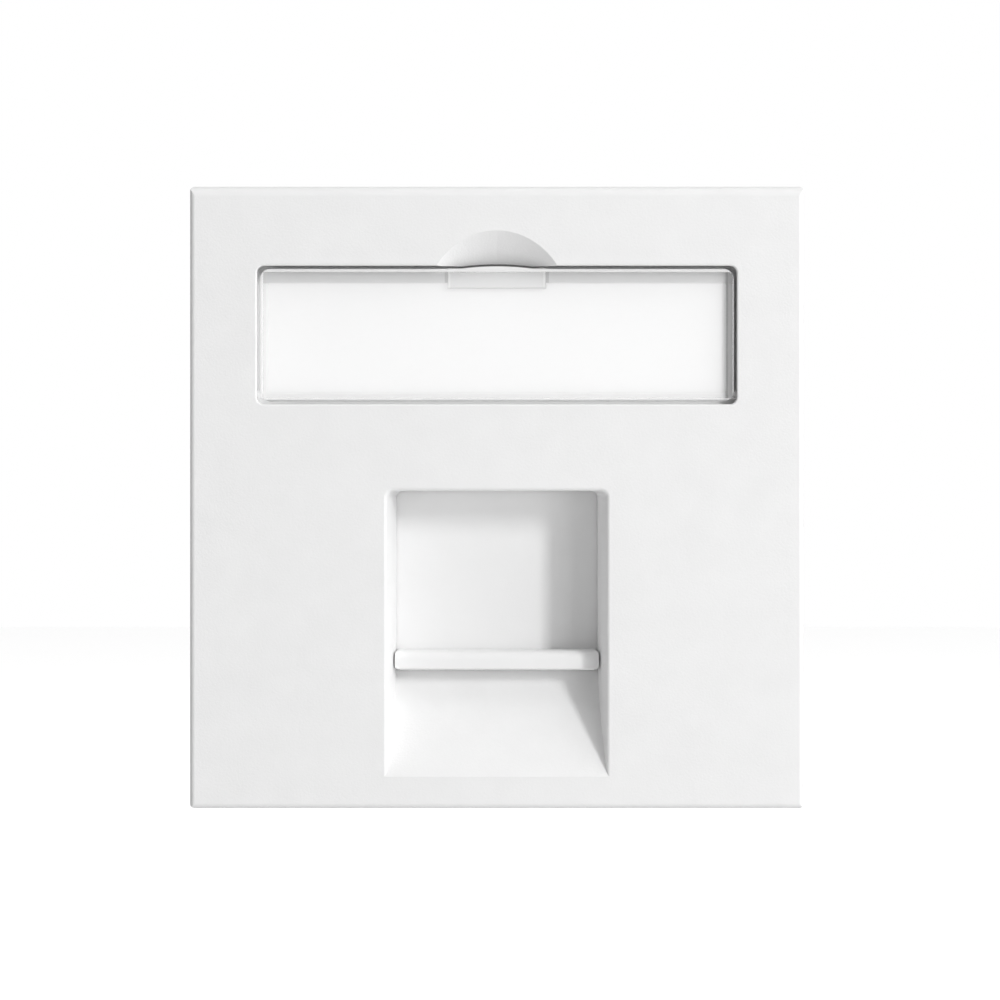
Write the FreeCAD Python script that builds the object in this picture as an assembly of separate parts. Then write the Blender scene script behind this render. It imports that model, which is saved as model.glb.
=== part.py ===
import FreeCAD
import Part
import math
import os
from FreeCAD import Vector

# Keystone faceplate, two modules wide, for a 45 mm wiring frame. Lengths are millimetres, angles degrees.
# X runs along the width, Z up and Y into the wall. The origin is the centre of the ledge behind the
# flange, which seats on the frame. A depth is measured back from the front of the flange.
# The shutter slides up along Z. The label cover turns about X, with its upper edge coming forward.

# flange, and the hollow body behind it
face_width = 44.4
face_height = 45.0
flange_depth = 3.0
front_wall = 1.6
edge_round = 0.35
top_edge_round = 0.7
corner_round = 0.35
body_width = 42.6
body_height = 41.8
body_depth = 9.0
body_wall = 1.2
body_corner = 1.0
body_draft = 0.15

# snap hooks that clip the body behind the edge of the frame
frame_edge = 2.2
hook_count = 2
hook_pitch = 25.0
hook_width = 6.0
hook_reach = 0.85
hook_flat = 0.5
hook_length = 3.6
hook_gap = 0.1
hook_slot = 0.8
hook_root = 1.6

# label window with its finger scoop
window_width = 34.7
window_height = 10.0
window_margin = 5.77
window_depth = 1.35
window_corner = 0.5
window_wall = 1.2
window_lip_round = 0.14
scoop_width = 8.8
scoop_rise = 2.57
scoop_round = 12.0
scoop_angle = 30.0
scoop_overrun = 0.3

# clear cover on two trunnions
cover_gap = 0.2
cover_recess = 0.1
cover_thickness = 1.0
cover_sheet = 0.55
cover_side_wall = 0.55
cover_top_wall = 1.0
cover_low_wall = 0.65
cover_corner = 0.8
cover_round = 0.15
pocket_corner = 0.2
trunnion_radius = 0.3
trunnion_length = 0.65
trunnion_clearance = 0.05
latch_width = 7.1
latch_height = 1.35
latch_arch = 0.32
latch_lip = 0.5

# paper label
card_thickness = 0.2
card_gap = 0.35
card_lap = 0.1
card_notch_gap = 0.04

# port well: flared side walls, flat top wall and a ramp that rises to the face
port_width = 14.8
port_mouth = 16.0
port_flare_depth = 4.5
port_top = 0.46
port_foot = -20.2
port_depth = 4.9
port_wall = 1.2
port_rim = 2.0
port_round = 0.25
port_corner = 0.5
ramp_angle = 29.0
sill_z = -12.7

# stiffening ribs inside the body
rib_thickness = 0.8
rib_height = 2.4
rib_z = -7.5
rib_x = 5.5
foot_rib_drop = 1.0

# sliding shutter
shutter_clearance = 0.1
shutter_thickness = 1.2
shutter_lap = 1.6
shutter_top_lap = 1.4
shutter_sill_gap = 0.15
shutter_corner = 0.4
shutter_travel = 11.3
lip_height = 1.38
lip_reach = 3.0
lip_side_gap = 0.15
lip_top_round = 0.65
lip_low_round = 0.15
lip_corner = 0.3
slider_radius = 1.2
slider_height = 4.4
slider_inset = 1.4
slider_lift = 0.3
spigot_radius = 0.6
spigot_height = 1.4

# return springs
spring_radius = 1.05
spring_wire = 0.28
spring_wire_sides = 4
spring_turns = 6
spring_length = 18.6
spring_seat_gap = 0.05

# keystone holder: back plate, spring housings and the socket for the jack
holder_gap = 0.2
holder_plate = 1.5
holder_width = 34.6
holder_margin = 2.2
holder_corner = 2.0
housing_clearance = 0.2
housing_wall = 1.0
stop_clearance = 0.25
jack_width = 14.9
jack_height = 16.4
jack_z = -6.2
socket_wall = 1.3
socket_depth = 8.4
socket_corner = 0.8
catch_low_drop = 1.6
catch_high_rise = 2.0
catch_length = 2.2
catch_slope = 2.4
catch_step = 0.6
catch_width = 11.0

# heat-staked pins that hold the holder
stake_radius = 1.0
stake_clearance = 0.05
stake_head_radius = 1.75
stake_head_height = 0.9
stake_boss = 1.8
stake_inset = 2.6

# how far a form reaches into the one it grows out of
root = 0.5

SIDES = (-1, 1)
FAR = 60.0


def y_at(depth):
    """Y of a plane at this depth behind the front of the flange."""
    return depth - flange_depth


def filled(edges):
    """Flat face inside a closed chain of edges."""
    return Part.Face(Part.Wire(Part.__sortEdges__(edges)))


def segment(a, b):
    return Part.makeLine(a, b)


def arc(a, middle, b):
    return Part.Arc(a, middle, b).toShape()


def bend(radius):
    """How far the middle of a quarter round lies in from its square corner, along each side."""
    return radius * (1 - math.sqrt(0.5))


def side_point(depth, z):
    return Vector(0, y_at(depth), z)


def side_prism(points, x0, x1):
    """Prism along X of a polygon given by depth and height."""
    corners = [side_point(*p) for p in points]
    face = Part.Face(Part.makePolygon(corners + corners[:1]))
    face.translate(Vector(x0, 0, 0))
    return face.extrude(Vector(x1 - x0, 0, 0))


def block(x0, x1, d0, d1, z0, z1, corner=0.0):
    """Block between two depths, with its four edges along Y rounded."""
    solid = Part.makeBox(x1 - x0, d1 - d0, z1 - z0, Vector(x0, y_at(d0), z0))
    return solid.makeFillet(corner, edges_along(solid, Vector(0, 1, 0))) if corner else solid


def edges_along(solid, direction):
    """Straight edges parallel to a direction."""
    return [e for e in solid.Edges
            if isinstance(e.Curve, Part.Line) and abs(e.tangentAt(e.FirstParameter).dot(direction)) > 0.999]


def y_cylinder(radius, x, z, d0, d1):
    return Part.makeCylinder(radius, d1 - d0, Vector(x, y_at(d0), z), Vector(0, 1, 0))


def joined(solids):
    """One clean solid out of touching ones."""
    return solids[0].fuse(solids[1:]).removeSplitter()


# positions that several pieces share
window_top = face_height / 2 - window_margin
window_bottom = window_top - window_height
cover_front = cover_recess
cover_back = cover_front + cover_thickness
hinge_depth = cover_front + cover_thickness / 2
hinge_z = window_bottom + cover_gap + cover_thickness / 2
cover_top = window_top - cover_gap
pocket_top = cover_top - cover_top_wall
pocket_bottom = window_bottom + cover_gap + cover_low_wall
shutter_front = port_depth + shutter_clearance
shutter_back = shutter_front + shutter_thickness
shutter_bottom = sill_z + shutter_sill_gap
shutter_half = port_width / 2 + shutter_lap
holder_front = shutter_back + holder_gap
holder_back = holder_front + holder_plate
slider_x = shutter_half + slider_inset
slider_depth = (shutter_front + holder_back) / 2
slider_bottom = shutter_bottom + slider_lift
slider_top = slider_bottom + slider_height
spring_stop = slider_top + spring_length + 2 * spring_seat_gap
housing_radius = slider_radius + housing_clearance
ramp_slope = math.tan(math.radians(ramp_angle))
sill_depth = (sill_z - port_foot) * ramp_slope
holder_top = spring_stop + holder_margin
holder_bottom = jack_z - jack_height / 2 - catch_low_drop - socket_wall - holder_margin
port_flare = (port_mouth - port_width) / 2
port_flare_radius = (port_flare_depth ** 2 + port_flare ** 2) / (2 * port_flare)


def flange():
    """Front plate as three crossing extrusions, its front edge rounded, most broadly along the top."""
    w, h = face_width / 2, face_height / 2

    def rounded(point, half, low, high):
        return filled([
            arc(point(-half, low), point(-half + bend(low), bend(low)), point(-half + low, 0)),
            segment(point(-half + low, 0), point(half - high, 0)),
            arc(point(half - high, 0), point(half - bend(high), bend(high)), point(half, high)),
            segment(point(half, high), point(half, flange_depth)),
            segment(point(half, flange_depth), point(-half, flange_depth)),
            segment(point(-half, flange_depth), point(-half, low))])

    across = rounded(lambda x, d: Vector(x, y_at(d), -h), w, edge_round, edge_round)
    upright = rounded(lambda z, d: Vector(-w, y_at(d), z), h, edge_round, top_edge_round)
    outline = block(-w, w, -1, flange_depth, -h, h, corner_round)
    return across.extrude(Vector(0, 0, face_height)).common(
        upright.extrude(Vector(face_width, 0, 0))).common(outline)


def drafted_body(inset, d0, d1):
    """Rounded rectangular shell form that narrows by the draft towards the back."""
    def outline(depth):
        shrink = inset + body_draft * (depth - flange_depth) / body_depth
        w, h = body_width / 2 - shrink, body_height / 2 - shrink
        slab = block(-w, w, depth, depth + 1, -h, h, body_corner - min(inset, body_corner / 2))
        return next(f for f in slab.Faces if abs(f.CenterOfMass.y - y_at(depth)) < 1e-6).OuterWire
    return Part.makeLoft([outline(d0), outline(d1)], True)


def snap_hook(x, side):
    """Barb on its tongue: a square shoulder towards the frame and a long slope to the back."""
    foot = body_height / 2 - body_wall / 2
    top = body_height / 2 + hook_reach
    start = flange_depth + frame_edge + hook_gap
    end = start + hook_length
    points = [(start, foot), (start, top), (start + hook_flat, top), (end, body_height / 2 - body_draft),
              (end, foot)]
    return side_prism([(d, side * z) for d, z in points], x - hook_width / 2, x + hook_width / 2)


def hook_slots(x, side):
    """Slot round three sides of a tongue, which stays joined at the back."""
    z0, z1 = sorted((side * (body_height / 2 - 1.5 * body_wall), side * (body_height / 2 + hook_reach)))
    d0 = flange_depth + frame_edge + hook_gap - hook_slot
    d1 = flange_depth + body_depth - hook_root
    inner, outer = hook_width / 2, hook_width / 2 + hook_slot
    window = block(x - outer, x + outer, d0, d1, z0, z1)
    tongue = block(x - inner, x + inner, d0 + hook_slot, d1, z0, z1)
    return window.cut(tongue)


def port_wall_x(depth):
    """Half width of the port at a depth: an arc that widens towards the mouth."""
    run = max(port_flare_depth - depth, 0)
    return port_width / 2 + port_flare_radius - math.sqrt(port_flare_radius ** 2 - run ** 2)


def port_cavity():
    """Space of the port: a slot with flared side walls and a rounded mouth, kept above its ramp."""
    half = port_width / 2
    low, high, back = port_foot - 1 / ramp_slope, port_top + port_wall, port_depth + 1
    beside = port_mouth / 2 + port_rim

    def side_wall(side):
        def p(x, d):
            return Vector(side * x, y_at(d), low)
        mouth, middle = port_mouth / 2, port_flare_depth / 2
        return [segment(p(0, -1), p(mouth, -1)), segment(p(mouth, -1), p(mouth, 0)),
                arc(p(mouth, 0), p(port_wall_x(middle), middle), p(half, port_flare_depth)),
                segment(p(half, port_flare_depth), p(half, back)),
                segment(p(half, back), p(0, back))]

    slot = filled(side_wall(-1) + side_wall(1)).extrude(Vector(0, 0, port_top - low))
    slot = slot.makeFillet(port_corner, [
        e for e in slot.Edges if e.BoundBox.ZMin > port_top - 1e-5 and e.BoundBox.YLength > 1e-3])
    walls = block(-beside, beside, 0, back, low, high).cut(slot)
    walls = walls.makeFillet(port_round, [
        e for e in walls.Edges if e.BoundBox.YMax < y_at(0) + 1e-5
        and abs(e.BoundBox.Center.x) < port_mouth / 2 + 1e-3 and low + 1 < e.BoundBox.ZMax < high - 1e-3])
    above_ramp = side_prism([(-1, low), (-1, high), (back, high), (back, sill_z), (sill_depth, sill_z),
                             (0, port_foot)], -beside, beside)
    return block(-beside, beside, -1, back, low, high).cut(walls).common(above_ramp)


def port_box():
    """Walls round the port, with a broad rim at the back that the shutter slides against."""
    half = port_width / 2 + port_rim
    skin = port_wall / math.cos(math.radians(ramp_angle))
    return side_prism([(front_wall / 2, port_top + port_wall), (port_depth, port_top + port_wall),
                       (port_depth, port_foot + (port_depth - skin) / ramp_slope),
                       (front_wall / 2, port_foot + (front_wall / 2 - skin) / ramp_slope)], -half, half)


def scoop():
    """Hollow for a fingertip: an arc that runs down and back from the face, turned about an upright
    axis in front of it."""
    first = math.radians(scoop_angle)
    top, low = window_top + scoop_rise, window_top - scoop_overrun

    def at(angle):
        return side_point(scoop_round * (math.cos(angle) - math.cos(first)),
                          top - scoop_round * (math.sin(first) - math.sin(angle)))

    def reached(z):
        return math.asin(math.sin(first) - (top - z) / scoop_round)
    depth = at(reached(window_top)).y - y_at(0)
    axis = side_point((depth ** 2 - (scoop_width / 2) ** 2) / (2 * depth), 0)
    before, after = reached(top + scoop_overrun), reached(low)
    start, end = at(before), at(after)
    half = filled([arc(start, at((before + after) / 2), end), segment(end, Vector(0, axis.y, end.z)),
                   segment(Vector(0, axis.y, end.z), Vector(0, axis.y, start.z)),
                   segment(Vector(0, axis.y, start.z), start)])
    return half.revolve(axis, Vector(0, 0, 1), 360)


def window_cavity():
    """Space of the label window, with a socket for each trunnion of the cover."""
    w = window_width / 2
    hollow = block(-w, w, -1, window_depth, window_bottom, window_top, window_corner)
    sockets = Part.makeCylinder(
        trunnion_radius + trunnion_clearance, window_width + 2 * (trunnion_length + trunnion_clearance),
        Vector(-w - trunnion_length - trunnion_clearance, y_at(hinge_depth), hinge_z), Vector(1, 0, 0))
    return hollow.fuse(sockets)


def stake_places():
    """X and Z of the four pins, near the corners of the holder."""
    return [(side * (holder_width / 2 - stake_inset), z) for side in SIDES
            for z in (holder_bottom + stake_inset, holder_top - stake_inset)]


def stakes():
    """Bosses that space the holder, each with a pin through it and a head formed over it."""
    parts = []
    for x, z in stake_places():
        parts.append(y_cylinder(stake_boss, x, z, front_wall / 2, holder_front))
        parts.append(y_cylinder(stake_radius, x, z, front_wall / 2, holder_back + stake_head_height / 2))
        ball = (stake_head_radius ** 2 + stake_head_height ** 2) / (2 * stake_head_height)
        head = Part.makeSphere(ball, Vector(x, y_at(holder_back + stake_head_height - ball), z))
        parts.append(head.common(y_cylinder(stake_head_radius, x, z, holder_back, holder_back + 2 * stake_head_height)))
    return parts


def ribs():
    """Low ribs from the port box out to the walls of the body."""
    d0, d1 = front_wall / 2, front_wall + rib_height
    t = rib_thickness / 2
    inner, outer = port_width / 2 + port_rim / 2, body_width / 2 - body_wall / 2
    parts = [block(*sorted((side * inner, side * outer)), d0, d1, rib_z - t, rib_z + t) for side in SIDES]
    low, high = -body_height / 2 + body_wall / 2, port_foot + rib_height
    parts += [block(side * rib_x - t, side * rib_x + t, d0, d1 - foot_rib_drop, low, high) for side in SIDES]
    return parts


def make_faceplate():
    """The whole front moulding: flange, hollow body, window, port, ribs, pins and snap hooks."""
    shell = drafted_body(0, flange_depth - 1, flange_depth + body_depth)
    hollow = drafted_body(body_wall, front_wall, flange_depth + body_depth + 1)
    w = window_width / 2 + window_wall
    window_box = block(-w, w, front_wall / 2, window_depth + window_wall,
                       window_bottom - window_wall, window_top + window_wall, window_corner)
    hook_xs = [(i - (hook_count - 1) / 2) * hook_pitch for i in range(hook_count)]
    body = flange().fuse(shell).cut(hollow)
    body = body.fuse([window_box, port_box()] + ribs() + stakes())
    body = body.cut(port_cavity()).cut(window_cavity())
    body = soft_lip(body).cut(scoop())
    for x in hook_xs:
        for side in SIDES:
            body = body.cut(hook_slots(x, side)).fuse(snap_hook(x, side))
    return body.removeSplitter()


def soft_lip(body):
    """Rounds the front edge of the label window."""
    def on_lip(edge):
        box = edge.BoundBox
        level = box.ZMin > window_bottom - 0.01 and box.ZMax < window_top + 0.01
        return box.YMax < y_at(0) + 1e-5 and level and abs(box.Center.x) < window_width / 2 + 0.01
    return body.makeFillet(window_lip_round, [e for e in body.Edges if on_lip(e)])


def make_label_cover():
    """Clear tray: front sheet, side walls, half-round hinge edge with trunnions, and a thumb block."""
    w = window_width / 2 - cover_gap
    r, soft = cover_thickness / 2, cover_round
    p, front, back = side_point, cover_front, cover_back
    profile = filled([
        arc(p(front, hinge_z), p(hinge_depth, hinge_z - r), p(back, hinge_z)),
        segment(p(back, hinge_z), p(back, cover_top)),
        segment(p(back, cover_top), p(front + soft, cover_top)),
        arc(p(front + soft, cover_top), p(front + bend(soft), cover_top - bend(soft)),
            p(front, cover_top - soft)),
        segment(p(front, cover_top - soft), p(front, hinge_z))])
    profile.translate(Vector(-w, 0, 0))

    def q(x, depth):
        return Vector(x, y_at(depth), hinge_z - r)
    plan = filled([
        arc(q(-w, front + soft), q(bend(soft) - w, front + bend(soft)), q(soft - w, front)),
        segment(q(soft - w, front), q(w - soft, front)),
        arc(q(w - soft, front), q(w - bend(soft), front + bend(soft)), q(w, front + soft)),
        segment(q(w, front + soft), q(w, back)),
        segment(q(w, back), q(-w, back)),
        segment(q(-w, back), q(-w, front + soft))])
    outline = block(-w, w, front, back, hinge_z - r, cover_top, cover_corner)
    tray = profile.extrude(Vector(2 * w, 0, 0)).common(
        plan.extrude(Vector(0, 0, cover_top + r - hinge_z))).common(outline)
    inside = w - cover_side_wall
    pocket = block(-inside, inside, cover_front + cover_sheet, cover_back + 1,
                   pocket_bottom, pocket_top, pocket_corner)
    tray = tray.cut(pocket)
    half = latch_width / 2
    thumb = block(-half, half, cover_front, cover_back, cover_top - latch_height, cover_top)
    lip = filled([arc(Vector(-half, y_at(cover_front), cover_top),
                      Vector(0, y_at(cover_front), cover_top + latch_arch),
                      Vector(half, y_at(cover_front), cover_top)),
                  segment(Vector(half, y_at(cover_front), cover_top),
                          Vector(-half, y_at(cover_front), cover_top))]).extrude(Vector(0, latch_lip, 0))
    length = cover_gap + trunnion_length
    pins = [Part.makeCylinder(trunnion_radius, length + root,
                              Vector(side * (w - root), y_at(hinge_depth), hinge_z), Vector(side, 0, 0))
            for side in SIDES]
    return joined([tray, thumb, lip] + pins)


def make_label_card():
    """Paper strip on the window floor, notched at the top for the thumb block."""
    w = window_width / 2 - cover_gap - card_gap
    low, high = pocket_bottom - card_lap, pocket_top + card_lap
    d0, d1 = window_depth - card_thickness, window_depth
    half = latch_width / 2 + card_notch_gap
    sheet = block(-w, w, d0, d1, low, high)
    return sheet.cut(block(-half, half, d0 - 1, d1 + 1, cover_top - latch_height - card_notch_gap, high + 1))


def lip_bar():
    """Finger bar across the foot of the shutter, its ends following the flared walls of the port."""
    front, back = shutter_front - lip_reach, shutter_front + shutter_thickness / 2
    low, high = shutter_bottom, shutter_bottom + lip_height
    top, under = lip_top_round, lip_low_round
    p = side_point
    section = filled([
        segment(p(back, low), p(front + under, low)),
        arc(p(front + under, low), p(front + bend(under), low + bend(under)), p(front, low + under)),
        segment(p(front, low + under), p(front, high - top)),
        arc(p(front, high - top), p(front + bend(top), high - bend(top)), p(front + top, high)),
        segment(p(front + top, high), p(back, high)),
        segment(p(back, high), p(back, low))])
    section.translate(Vector(-port_mouth / 2, 0, 0))
    bar = section.extrude(Vector(port_mouth, 0, 0))

    def end(side, depth):
        return Vector(side * (port_wall_x(depth) - lip_side_gap), y_at(depth), low)

    middle = (front + port_flare_depth) / 2
    plan = filled([segment(end(-1, front), end(1, front)),
                   arc(end(1, front), end(1, middle), end(1, port_flare_depth)),
                   segment(end(1, port_flare_depth), end(1, back)),
                   segment(end(1, back), end(-1, back)),
                   segment(end(-1, back), end(-1, port_flare_depth)),
                   arc(end(-1, port_flare_depth), end(-1, middle), end(-1, front))])
    half = port_wall_x(front) - lip_side_gap
    outline = block(-half, half, front, back, low, high, lip_corner)
    return bar.common(plan.extrude(Vector(0, 0, lip_height))).common(outline)


def make_shutter():
    """Panel with its finger bar, and a round slider on each side that carries a spring."""
    panel = block(-shutter_half, shutter_half, shutter_front, shutter_back,
                  shutter_bottom, port_top + shutter_top_lap, shutter_corner)
    parts = [panel, lip_bar()]
    for side in SIDES:
        x = side * slider_x
        parts.append(block(*sorted((side * (shutter_half - root), x)), shutter_front, shutter_back,
                           slider_bottom, slider_top))
        centre = Vector(x, y_at(slider_depth), slider_bottom)
        parts.append(Part.makeCylinder(slider_radius, slider_height, centre))
        parts.append(Part.makeCylinder(spigot_radius, slider_height + spigot_height, centre))
    return joined(parts)


def make_spring(side):
    """Compression spring: wire of few sides swept along a helix."""
    pitch = (spring_length - spring_wire) / spring_turns
    helix = Part.makeHelix(pitch, pitch * spring_turns, spring_radius - spring_wire / 2)
    mean = spring_radius - spring_wire / 2
    ring = [Vector(mean + spring_wire / 2 * math.cos(a), 0, spring_wire / 2 * math.sin(a))
            for a in (2 * math.pi * i / spring_wire_sides for i in range(spring_wire_sides))]
    spring = Part.Wire(helix.Edges).makePipeShell([Part.makePolygon(ring + ring[:1])], True, True)
    spring.translate(Vector(side * slider_x, y_at(slider_depth),
                            slider_top + spring_seat_gap + spring_wire / 2))
    return spring


def trough(side, radius, low, high, front):
    """Half-round form behind the path of a slider, with straight sides that run forward to a depth."""
    x = side * slider_x
    tube = Part.makeCylinder(radius, high - low, Vector(x, y_at(slider_depth), low))
    room = block(x - radius, x + radius, front, slider_depth + radius, low, high)
    return tube.fuse(block(x - radius, x + radius, front, slider_depth, low, high)).common(room)


def jack_socket():
    """Hollow box behind the plate with a fixed ledge below and a catch window above."""
    w = jack_width / 2 + socket_wall
    low = jack_z - jack_height / 2 - catch_low_drop - socket_wall
    high = jack_z + jack_height / 2 + catch_high_rise + socket_wall
    return block(-w, w, holder_front, holder_back + socket_depth, low, high, socket_corner)


def jack_cavity():
    """Straight opening for the jack, with steps that its fixed nose and its latch hook behind."""
    half = jack_width / 2
    low, high = jack_z - jack_height / 2, jack_z + jack_height / 2
    back = holder_back + socket_depth + 1
    step = holder_back + catch_step
    ledge = step + catch_length
    tunnel = side_prism([
        (holder_front - 1, low), (step, low), (step, low - catch_low_drop), (ledge, low - catch_low_drop),
        (ledge, low), (ledge + catch_slope, low - catch_low_drop), (back, low - catch_low_drop),
        (back, high + catch_high_rise), (ledge + 2 * catch_slope, high + catch_high_rise),
        (ledge + catch_slope / 2, high), (holder_front - 1, high)], -half, half)
    window = block(-catch_width / 2, catch_width / 2, step, ledge, high - 1,
                   high + catch_high_rise + socket_wall + 1)
    return tunnel.fuse(window)


def make_keystone_holder():
    """Back plate that traps the shutter and its springs and carries the socket for the jack."""
    plate = block(-holder_width / 2, holder_width / 2, holder_front, holder_back,
                  holder_bottom, holder_top, holder_corner)
    low, high = slider_bottom - holder_margin / 2, spring_stop
    parts = [plate, jack_socket()]
    for side in SIDES:
        parts.append(trough(side, housing_radius + housing_wall, low - housing_wall,
                            high + housing_wall, holder_front))
    holder = joined(parts)
    for side in SIDES:
        holder = holder.cut(trough(side, housing_radius, low, high, 0))
        inner, outer = shutter_half + stop_clearance, slider_x + housing_radius + housing_wall
        holder = holder.fuse(block(*sorted((side * inner, side * outer)), shutter_front,
                                   slider_depth, high, high + housing_wall))
    for x, z in stake_places():
        holder = holder.cut(y_cylinder(stake_radius + stake_clearance, x, z, 0, FAR))
    return holder.cut(jack_cavity()).removeSplitter()


def save(name, shape):
    """Writes one piece, after seeing that it is one sound solid."""
    solids = shape.Solids
    assert len(solids) == 1 and solids[0].isValid(), name
    solids[0].exportStep(f"parts/{name}.step")
    print(f"{name}: {solids[0].Volume:.2f} mm3, {len(solids[0].Faces)} faces")


os.makedirs("parts", exist_ok=True)
save("faceplate", make_faceplate())
save("keystone_holder", make_keystone_holder())
save("shutter", make_shutter())
save("label_cover", make_label_cover())
save("label_card", make_label_card())
for side_name, side_sign in (("left", -1), ("right", 1)):
    save(f"shutter_spring_{side_name}", make_spring(side_sign))
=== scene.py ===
import math
import bpy
import numpy as np
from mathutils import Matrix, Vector


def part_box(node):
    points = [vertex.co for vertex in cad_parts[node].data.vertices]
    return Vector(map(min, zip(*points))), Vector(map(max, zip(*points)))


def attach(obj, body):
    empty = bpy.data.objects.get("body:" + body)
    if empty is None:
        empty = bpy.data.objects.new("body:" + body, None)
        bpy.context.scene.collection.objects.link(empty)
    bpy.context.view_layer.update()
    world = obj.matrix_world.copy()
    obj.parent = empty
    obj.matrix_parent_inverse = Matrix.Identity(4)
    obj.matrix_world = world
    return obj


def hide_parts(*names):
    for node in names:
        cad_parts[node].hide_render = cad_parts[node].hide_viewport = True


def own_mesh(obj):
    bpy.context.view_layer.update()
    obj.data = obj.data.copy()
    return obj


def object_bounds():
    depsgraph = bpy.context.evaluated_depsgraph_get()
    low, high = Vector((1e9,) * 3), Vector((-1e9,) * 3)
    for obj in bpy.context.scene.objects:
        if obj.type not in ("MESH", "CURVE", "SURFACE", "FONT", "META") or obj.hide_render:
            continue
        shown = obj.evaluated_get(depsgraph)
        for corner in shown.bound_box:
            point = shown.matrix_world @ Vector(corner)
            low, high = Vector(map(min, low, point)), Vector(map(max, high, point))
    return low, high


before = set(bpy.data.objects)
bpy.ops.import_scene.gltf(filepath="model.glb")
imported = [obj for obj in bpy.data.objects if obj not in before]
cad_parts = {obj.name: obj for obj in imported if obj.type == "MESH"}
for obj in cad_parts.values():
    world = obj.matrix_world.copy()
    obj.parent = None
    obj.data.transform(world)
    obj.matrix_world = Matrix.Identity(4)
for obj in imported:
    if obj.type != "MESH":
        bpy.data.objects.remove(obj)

cad_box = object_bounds()


# ---- faceplate -------------------------------------------------------------------------------
# The one large moulding: flange, label window, scoop, port and ramp, with the hollow body behind.
# White ABS, injection moulded in a spark-eroded tool, which leaves a fine even grain and a soft,
# slightly broken sheen. It keeps its CAD form.

def linear(hex_colour):
    """Linear RGBA of an sRGB hex colour: c/12.92 below 0.04045, else ((c+0.055)/1.055)^2.4."""
    c = np.array([int(hex_colour[i:i + 2], 16) for i in (1, 3, 5)]) / 255
    rgb = np.where(c <= 0.04045, c / 12.92, ((c + 0.055) / 1.055) ** 2.4)
    return (*rgb.tolist(), 1.0)


def add(tree, kind, inputs=None, **settings):
    """Adds one shader node. Settings are its properties. An input takes a value or an output."""
    made = tree.nodes.new(kind)
    for name, value in settings.items():
        setattr(made, name, value)
    for name, value in (inputs or {}).items():
        if isinstance(value, bpy.types.NodeSocket):
            tree.links.new(value, made.inputs[name])
        else:
            made.inputs[name].default_value = value
    return made


def new_material(name):
    """An empty material with its output node; returns the material, its tree and the output."""
    material = bpy.data.materials.new(name)
    material.use_nodes = True
    tree = material.node_tree
    tree.nodes.clear()
    return material, tree, tree.nodes.new("ShaderNodeOutputMaterial")


def per_mm(size_mm):
    """Texture scale that repeats once in this many millimetres, for coordinates in metres."""
    return 1000 / size_mm


def moulded_abs(name, colour, shade, grain_mm, grain_depth_mm, roughness):
    """White ABS: a faint cloudiness in the colour, and a spark-eroded grain in bump and gloss."""
    material, tree, output = new_material(name)
    place = add(tree, "ShaderNodeTexCoord").outputs["Object"]
    cloud = add(tree, "ShaderNodeTexNoise", {"Vector": place, "Scale": per_mm(2.5), "Detail": 3.0})
    tint = add(tree, "ShaderNodeMix", {"Factor": cloud.outputs["Fac"], "A": linear(shade),
                                       "B": linear(colour)}, data_type="RGBA")
    grain = add(tree, "ShaderNodeTexNoise", {"Vector": place, "Scale": per_mm(grain_mm),
                                             "Detail": 3.0, "Roughness": 0.6})
    bump = add(tree, "ShaderNodeBump", {"Height": grain.outputs["Fac"], "Strength": 0.5,
                                        "Distance": grain_depth_mm / 1000})
    gloss = add(tree, "ShaderNodeMapRange", {
        "Value": grain.outputs["Fac"], "To Min": roughness - 0.06, "To Max": roughness + 0.06})
    surface = add(tree, "ShaderNodeBsdfPrincipled", {
        "Base Color": tint.outputs["Result"], "Roughness": gloss.outputs["Result"],
        "Normal": bump.outputs["Normal"], "IOR": 1.53})
    tree.links.new(surface.outputs["BSDF"], output.inputs["Surface"])
    return material


def finish_node(name, material):
    """Gives a CAD node its finish in place of the plain one that it came with."""
    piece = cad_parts[name]
    if not piece.material_slots:
        piece.data.materials.append(material)
    for slot in piece.material_slots:
        slot.material = material


finish_node("faceplate", moulded_abs("ABS moulded faceplate", "#eeeeee", "#e8e8e8",
                                     grain_mm=0.16, grain_depth_mm=0.025, roughness=0.5))


# ---- keystone holder -------------------------------------------------------------------------
# The inner moulding that traps the shutter and its springs and takes the jack from behind.
# The same ABS from a polished tool, so its grain is finer and its sheen a little higher.

finish_node("keystone_holder", moulded_abs("ABS moulded holder", "#ebebeb", "#e8e8e8",
                                           grain_mm=0.1, grain_depth_mm=0.012, roughness=0.42))


# ---- shutter ---------------------------------------------------------------------------------
# The sliding door of the port with its finger bar. ABS from a polished tool, smoother than the
# faceplate so that it slides, which gives the bar a clean highlight.

finish_node("shutter", moulded_abs("ABS moulded shutter", "#eeeeee", "#ebebeb",
                                   grain_mm=0.12, grain_depth_mm=0.012, roughness=0.38))


# ---- label card ------------------------------------------------------------------------------
# The paper strip that carries the label. Uncoated white paper: matt, with a faint fibre pattern.

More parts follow.
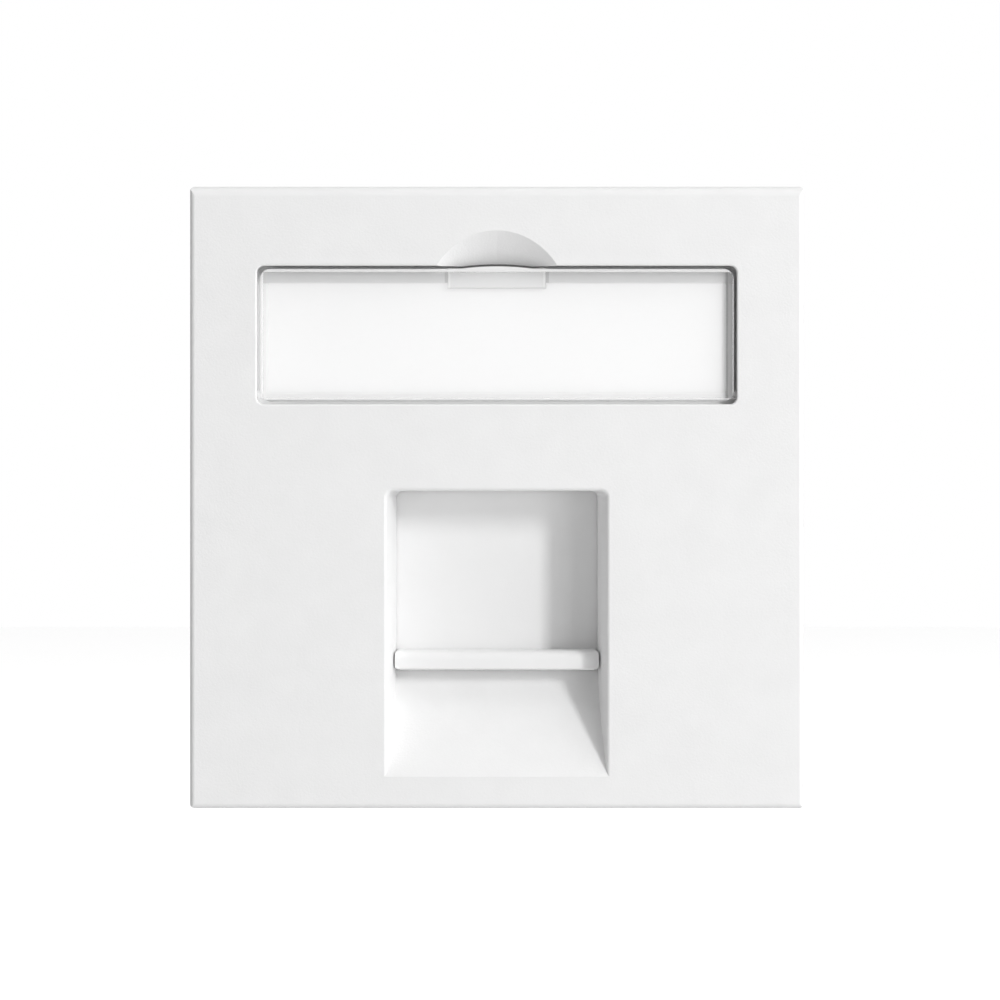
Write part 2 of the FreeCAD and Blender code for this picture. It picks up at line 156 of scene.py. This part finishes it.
def uncoated_paper(name, colour, shade):
    """White paper: short fibres as stretched noise, in the colour and as a slight relief."""
    material, tree, output = new_material(name)
    place = add(tree, "ShaderNodeTexCoord").outputs["Object"]
    stretch = add(tree, "ShaderNodeMapping", {"Vector": place, "Scale": (0.3, 1.0, 1.0)})
    fibre = add(tree, "ShaderNodeTexNoise", {
        "Vector": stretch.outputs["Vector"], "Scale": per_mm(0.25), "Detail": 5.0,
        "Roughness": 0.65})
    tint = add(tree, "ShaderNodeMix", {"Factor": fibre.outputs["Fac"], "A": linear(shade),
                                       "B": linear(colour)}, data_type="RGBA")
    bump = add(tree, "ShaderNodeBump", {"Height": fibre.outputs["Fac"], "Strength": 0.3,
                                        "Distance": 0.00001})
    surface = add(tree, "ShaderNodeBsdfPrincipled", {
        "Base Color": tint.outputs["Result"], "Roughness": 0.85, "Normal": bump.outputs["Normal"],
        "IOR": 1.45, "Specular IOR Level": 0.25})
    tree.links.new(surface.outputs["BSDF"], output.inputs["Surface"])
    return material


finish_node("label_card", uncoated_paper("paper uncoated", "#fbfbfb", "#f9f9f9"))


# ---- label cover -----------------------------------------------------------------------------
# The clear window over the card: a shallow tray with a thumb block, moulded in polycarbonate.
# It keeps its CAD form. Its front and the sheet behind it are polished, and its edges and the back
# of its rim are frosted, so the material follows the tray's own sizes.

cover_low, cover_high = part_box("label_cover")
pin_length = 0.00085
arch_rise = 0.00032
side_rim, top_rim = 0.00055, 0.001
right_line = 0.0004
thumb_half, thumb_drop = 0.00355, 0.0004
border_width = 0.0002
outline = foot_line = 0.0001
arch_width = 0.00012
outer_wall, pocket_end = 0.00015, 0.0011
blend = 0.00005


def clear_polycarbonate(name):
    """Clear polymer, faintly rippled, frosted where moulded edges are. Lamps and bounced light pass
    straight through what is clear. A frosted face holds back light that enters there, most of all
    near the right and upper sides, and lets nearly all of it out."""
    material, tree, output = new_material(name)

    def calc(operation, a, b):
        return add(tree, "ShaderNodeMath", {0: a, 1: b}, operation=operation).outputs["Value"]

    def ramp(value, start, end, low, high):
        return add(tree, "ShaderNodeMapRange", {"Value": value, "From Min": start, "From Max": end,
                                                "To Min": low, "To Max": high}).outputs["Result"]

    def up_to(value, end):
        """1 up to end, falling to 0 over the blend."""
        return ramp(value, end, end + blend, 1.0, 0.0)

    def between(value, start, end):
        """1 from start to end, falling to 0 over the blend on both sides."""
        return calc("MULTIPLY", ramp(value, start - blend, start, 0.0, 1.0), up_to(value, end))

    # Distances from the tray's four sides, and from the thumb block's arch above its upper side.
    where = add(tree, "ShaderNodeTexCoord")
    place = add(tree, "ShaderNodeSeparateXYZ", {"Vector": where.outputs["Object"]}).outputs
    facing = add(tree, "ShaderNodeSeparateXYZ", {"Vector": where.outputs["Normal"]}).outputs
    to_right = calc("SUBTRACT", cover_high[0] - pin_length, place["X"])
    to_left = calc("SUBTRACT", place["X"], cover_low[0] + pin_length)
    to_top = calc("SUBTRACT", cover_high[2] - arch_rise, place["Z"])
    to_foot = calc("SUBTRACT", place["Z"], cover_low[2])
    to_others = calc("MINIMUM", to_left, calc("MINIMUM", to_top, to_foot))
    to_side = calc("MINIMUM", to_right, to_others)
    across = calc("ABSOLUTE", place["X"], 0.0)
    bulge = calc("MULTIPLY", calc("POWER", calc("DIVIDE", across, thumb_half), 2.0), arch_rise)
    to_arch = calc("SUBTRACT", calc("ADD", to_top, arch_rise), bulge)

    # Frosted: faces turned away from the front, the rim's back, a border of the front, the arch.
    turned = ramp(calc("ABSOLUTE", facing["Y"], 0.0), 0.95, 0.3, 0.0, 1.0)
    behind = ramp(place["Y"], cover_high[1] - 2 * blend, cover_high[1] - blend, 0.0, 1.0)
    border = ramp(to_others, border_width + 0.00008, border_width, 0.0, 0.8)
    # The arch mask frosts the arch, and on its front it also becomes a painted shadow line.
    arch_frost_and_painted_shadow = calc("MULTIPLY", calc("SUBTRACT", up_to(to_arch, arch_width), turned),
                     ramp(to_top, 0.0, -0.00003, 0.0, 1.0))
    frosted = calc("MAXIMUM", calc("MAXIMUM", turned, behind), calc("MAXIMUM", border, arch_frost_and_painted_shadow))

    # Painted light in the frosting's colour: painted shade behind the upper rim, less of it on the
    # thumb block, a painted highlight on the block's outline, a painted shadow in the gap beside
    # it, and painted shade lines within the right rim, at the foot and along the arch.
    thumb = up_to(across, thumb_half - blend)
    upper = up_to(calc("SUBTRACT", to_top, calc("MULTIPLY", thumb, thumb_drop)), top_rim)
    thumb_outline_painted_highlight = calc("MULTIPLY", between(across, thumb_half - blend - outline, thumb_half - blend), 0.12)
    thumb_gap_painted_shadow = calc("MULTIPLY", between(across, thumb_half, thumb_half + 2 * outline), 0.2)
    upper_painted_shade = calc("SUBTRACT", calc("ADD", ramp(thumb, 0.0, 1.0, 0.22, 0.12), thumb_gap_painted_shadow), thumb_outline_painted_highlight)
    upper_painted_shade = calc("MULTIPLY", upper, upper_painted_shade)
    # Painted shade: a dark band within the right rim, where the rim lies in shadow.
    right_rim_painted_shade = calc("MULTIPLY", between(to_right, right_line, side_rim), 0.5)
    back_painted_shade = calc("MULTIPLY", behind, calc("MAXIMUM", upper_painted_shade, right_rim_painted_shade))
    # Painted shade: a dark line along the tray's foot, where the gap below it lies in shade.
    foot_painted_shade = ramp(to_foot, foot_line, foot_line + 0.00006, 0.45, 0.0)
    # The frosting's white times the painted shade above, and nearly black as a painted shadow line
    # on the arch's front.
    tint = calc("MULTIPLY", calc("SUBTRACT", 1.0, calc("MAXIMUM", back_painted_shade, foot_painted_shade)),
                ramp(arch_frost_and_painted_shadow, 0.0, 1.0, 1.0, 0.05))

    ripple = add(tree, "ShaderNodeTexNoise", {"Vector": where.outputs["Object"], "Scale": per_mm(5),
                                              "Detail": 2.0})
    bump = add(tree, "ShaderNodeBump", {"Height": ripple.outputs["Fac"], "Strength": 0.05,
                                        "Distance": 0.00001})
    surface = add(tree, "ShaderNodeBsdfPrincipled", {
        "Base Color": tint, "Roughness": ramp(frosted, 0.0, 1.0, 0.02, 0.35), "IOR": 1.586,
        "Transmission Weight": ramp(frosted, 0.0, 1.0, 1.0, 0.25),
        "Normal": bump.outputs["Normal"]})

    # Light is held back by the outer faces, the rim's back and the thumb block, and little by the
    # faces of the pocket.
    inward = calc("MINIMUM", calc("DIVIDE", to_right, side_rim), calc("DIVIDE", to_top, top_rim))
    pocket = calc("MINIMUM", ramp(to_side, outer_wall, 2 * outer_wall, 0.0, 0.85),
                  ramp(to_side, pocket_end, pocket_end + 0.0001, 0.85, 0.0))
    outside = calc("MAXIMUM", behind, calc("SUBTRACT", 1.0, pocket))
    leaving = add(tree, "ShaderNodeNewGeometry").outputs["Backfacing"]
    by_place = calc("MULTIPLY", outside, ramp(leaving, 0.0, 1.0, 1.0, 0.15))
    by_side = calc("MULTIPLY", frosted, ramp(inward, 0.15, 1.0, 0.98, 0.33))
    passed = calc("SUBTRACT", 1.0, calc("MULTIPLY", by_side, by_place))
    clear = add(tree, "ShaderNodeBsdfTransparent", {"Color": passed})
    ray = add(tree, "ShaderNodeLightPath").outputs
    mix = add(tree, "ShaderNodeMixShader", {
        "Fac": calc("MAXIMUM", ray["Is Shadow Ray"], ray["Is Diffuse Ray"]),
        1: surface.outputs["BSDF"], 2: clear.outputs["BSDF"]})
    tree.links.new(mix.outputs["Shader"], output.inputs["Surface"])
    return material


finish_node("label_cover", clear_polycarbonate("polycarbonate clear"))


# ---- shutter springs -------------------------------------------------------------------------
# Two compression springs of drawn stainless wire that push the shutter shut. The coil is open
# along its length, and its last turn at each end lies closed against its seat.

def smooth_step(t):
    """0 below 0, 1 above 1, and 3t^2 - 2t^3 between."""
    t = np.clip(t, 0, 1)
    return t * t * (3 - 2 * t)


def grid_mesh(name, points, close_u, close_v):
    """Mesh of a grid of points: rows along u, columns along v, each way closed or open."""
    rows, columns = points.shape[:2]
    i = np.arange(rows if close_u else rows - 1)
    j = np.arange(columns if close_v else columns - 1)
    a, b = np.meshgrid(i, j, indexing="ij")
    a1, b1 = (a + 1) % rows, (b + 1) % columns
    quads = np.stack([a * columns + b, a1 * columns + b, a1 * columns + b1, a * columns + b1], -1)
    mesh = bpy.data.meshes.new(name)
    mesh.from_pydata(points.reshape(-1, 3).tolist(), [], quads.reshape(-1, 4).tolist())
    return mesh


def coil_spring(name, low, high, outer, wire, active_turns, steps=40, sides=12):
    """Wire of circular section along a helix whose pitch is the wire's thickness over the first and
    last turn and even between: z = integral of pitch over turns, x and y on the mean circle."""
    turns = active_turns + 2
    t = np.linspace(0, turns, int(turns * steps) + 1)
    open_part = smooth_step((t - 0.75) / 0.5) * smooth_step((turns - 0.75 - t) / 0.5)
    rise = np.concatenate([[0], np.cumsum((open_part[1:] + open_part[:-1]) / 2 * np.diff(t))])
    closed = wire * 1.02 * (t - rise)
    height = high - low - wire
    z = low + wire / 2 + closed + rise * (height - closed[-1]) / rise[-1]
    mean = outer - wire / 2
    centre = (np.array(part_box(name)[0]) + np.array(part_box(name)[1])) / 2
    angle = 2 * np.pi * t
    path = np.stack([centre[0] + mean * np.cos(angle), centre[1] + mean * np.sin(angle), z], -1)
    along = np.gradient(path, axis=0)
    along /= np.linalg.norm(along, axis=1, keepdims=True)
    out = np.stack([np.cos(angle), np.sin(angle), np.zeros_like(angle)], -1)
    up = np.cross(along, out)
    up /= np.linalg.norm(up, axis=1, keepdims=True)
    out = np.cross(up, along)
    ring = np.linspace(0, 2 * np.pi, sides, endpoint=False)
    path = np.concatenate([path[:1], path, path[-1:]])
    size = np.concatenate([[0], np.full(len(t), wire / 2), [0]])
    up, out = (np.concatenate([v[:1], v, v[-1:]]) for v in (up, out))
    surface = (path[:, None] + size[:, None, None] * (
        np.cos(ring)[None, :, None] * out[:, None] + np.sin(ring)[None, :, None] * up[:, None]))
    mesh = grid_mesh(name + "_wire", surface, False, True)
    mesh.shade_smooth()
    piece = bpy.data.objects.new(name + "_wire", mesh)
    bpy.context.scene.collection.objects.link(piece)
    return piece


def drawn_steel(name):
    """Stainless spring wire: bright metal, finely uneven in tone and gloss from drawing."""
    material, tree, output = new_material(name)
    place = add(tree, "ShaderNodeTexCoord").outputs["Object"]
    drawn = add(tree, "ShaderNodeTexNoise", {"Vector": place, "Scale": per_mm(0.08), "Detail": 3.0})
    gloss = add(tree, "ShaderNodeMapRange", {"Value": drawn.outputs["Fac"],
                                             "To Min": 0.2, "To Max": 0.38})
    tint = add(tree, "ShaderNodeMix", {"Factor": drawn.outputs["Fac"], "A": linear("#b9bbbd"),
                                       "B": linear("#cfd0d1")}, data_type="RGBA")
    surface = add(tree, "ShaderNodeBsdfPrincipled", {
        "Base Color": tint.outputs["Result"], "Metallic": 1.0,
        "Roughness": gloss.outputs["Result"]})
    tree.links.new(surface.outputs["BSDF"], output.inputs["Surface"])
    return material


spring_material = drawn_steel("stainless drawn wire")
for side in ("left", "right"):
    node = "shutter_spring_" + side
    low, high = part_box(node)
    spring = coil_spring(node, low[2], high[2], outer=(high[0] - low[0]) / 2, wire=0.00028,
                         active_turns=12)
    spring.data.materials.append(spring_material)
    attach(spring, "plate")
    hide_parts(node)
    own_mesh(spring)


# ---- room, light and camera ------------------------------------------------------------------
# A narrow key lamp from the upper right, a raking lamp beside it, a small near lamp low on the
# right and a soft lamp above. The surround is white to look at and dim as a light, over a pale
# floor. The camera is square to the face.

def lamp(name, direction, distance, width, height, level):
    """Rectangular lamp aimed at the plate's centre; level 1 lights a facing surface fully.
    Power for that is pi squared times the distance squared."""
    light = bpy.data.lights.new(name, "AREA")
    light.shape = "RECTANGLE"
    light.size, light.size_y = width, height
    light.energy = level * math.pi ** 2 * distance ** 2
    item = bpy.data.objects.new(name, light)
    bpy.context.scene.collection.objects.link(item)
    towards = np.array(direction) / np.linalg.norm(direction)
    item.location = (towards * distance).tolist()
    item.rotation_mode = "QUATERNION"
    item.rotation_quaternion = Vector(towards).to_track_quat("Z", "Y")


lamp("key lamp", (0.9, -1.0, 0.5), 2.0, 0.22, 0.5, 0.42)
lamp("raking lamp", (0.9, -0.35, 0.8), 0.8, 0.5, 0.5, 0.25)
lamp("near lamp", (0.75, -1.0, -0.05), 0.3, 0.12, 0.12, 0.18)
lamp("top lamp", (0.2, -0.2, 1.0), 0.8, 0.4, 0.4, 0.17)

surround_light = 0.27
world = bpy.data.worlds.new("white surround")
bpy.context.scene.world = world
world.use_nodes = True
tree = world.node_tree
tree.nodes.clear()
ray = add(tree, "ShaderNodeLightPath")
seen = add(tree, "ShaderNodeMath", {0: ray.outputs["Is Camera Ray"],
                                    1: ray.outputs["Is Glossy Ray"]}, operation="MAXIMUM")
seen = add(tree, "ShaderNodeMath", {0: seen.outputs["Value"],
                                    1: ray.outputs["Is Transmission Ray"]},
           operation="MAXIMUM")
level = add(tree, "ShaderNodeMapRange", {"Value": seen.outputs["Value"],
                                         "To Min": surround_light, "To Max": 1.0})
sky = add(tree, "ShaderNodeBackground", {"Color": (1, 1, 1, 1),
                                         "Strength": level.outputs["Result"]})
tree.links.new(sky.outputs["Background"], add(tree, "ShaderNodeOutputWorld").inputs["Surface"])

floor_drop, floor_size, floor_points = 0.04, 3.0, 9
floor_glow = 0.62
edge = np.linspace(-floor_size / 2, floor_size / 2, floor_points)
fx, fy = np.meshgrid(edge, edge, indexing="ij")
fz = np.full_like(fx, cad_box[0][2] - floor_drop)
floor_mesh = grid_mesh("floor", np.stack([fx, fy, fz], -1), False, False)
floor = bpy.data.objects.new("floor", floor_mesh)
bpy.context.scene.collection.objects.link(floor)
paper_floor, tree, output = new_material("paper sweep")
ray = add(tree, "ShaderNodeLightPath")
glow = add(tree, "ShaderNodeMath", {0: ray.outputs["Is Camera Ray"], 1: floor_glow},
           operation="MULTIPLY")
surface = add(tree, "ShaderNodeBsdfPrincipled", {
    "Base Color": linear("#f4f4f4"), "Roughness": 0.9, "Emission Color": (1, 1, 1, 1),
    "Emission Strength": glow.outputs["Value"]})
tree.links.new(surface.outputs["BSDF"], output.inputs["Surface"])
floor.data.materials.append(paper_floor)

distance = 0.26
seen_width = 0.0723
aside, below = 0.00023, 0.0002
face_y = cad_box[0][1]
camera_data = bpy.data.cameras.new("camera")
camera_data.sensor_width = 36.0
camera_data.lens = 36.0 * distance / seen_width
camera_data.clip_start, camera_data.clip_end = 0.01, 10
camera = bpy.data.objects.new("camera", camera_data)
bpy.context.scene.collection.objects.link(camera)
camera.location = (aside, face_y - distance, -below)
camera.rotation_euler = (math.pi / 2, 0, 0)
bpy.context.scene.camera = camera
bpy.context.scene.view_settings.view_transform = "Standard"
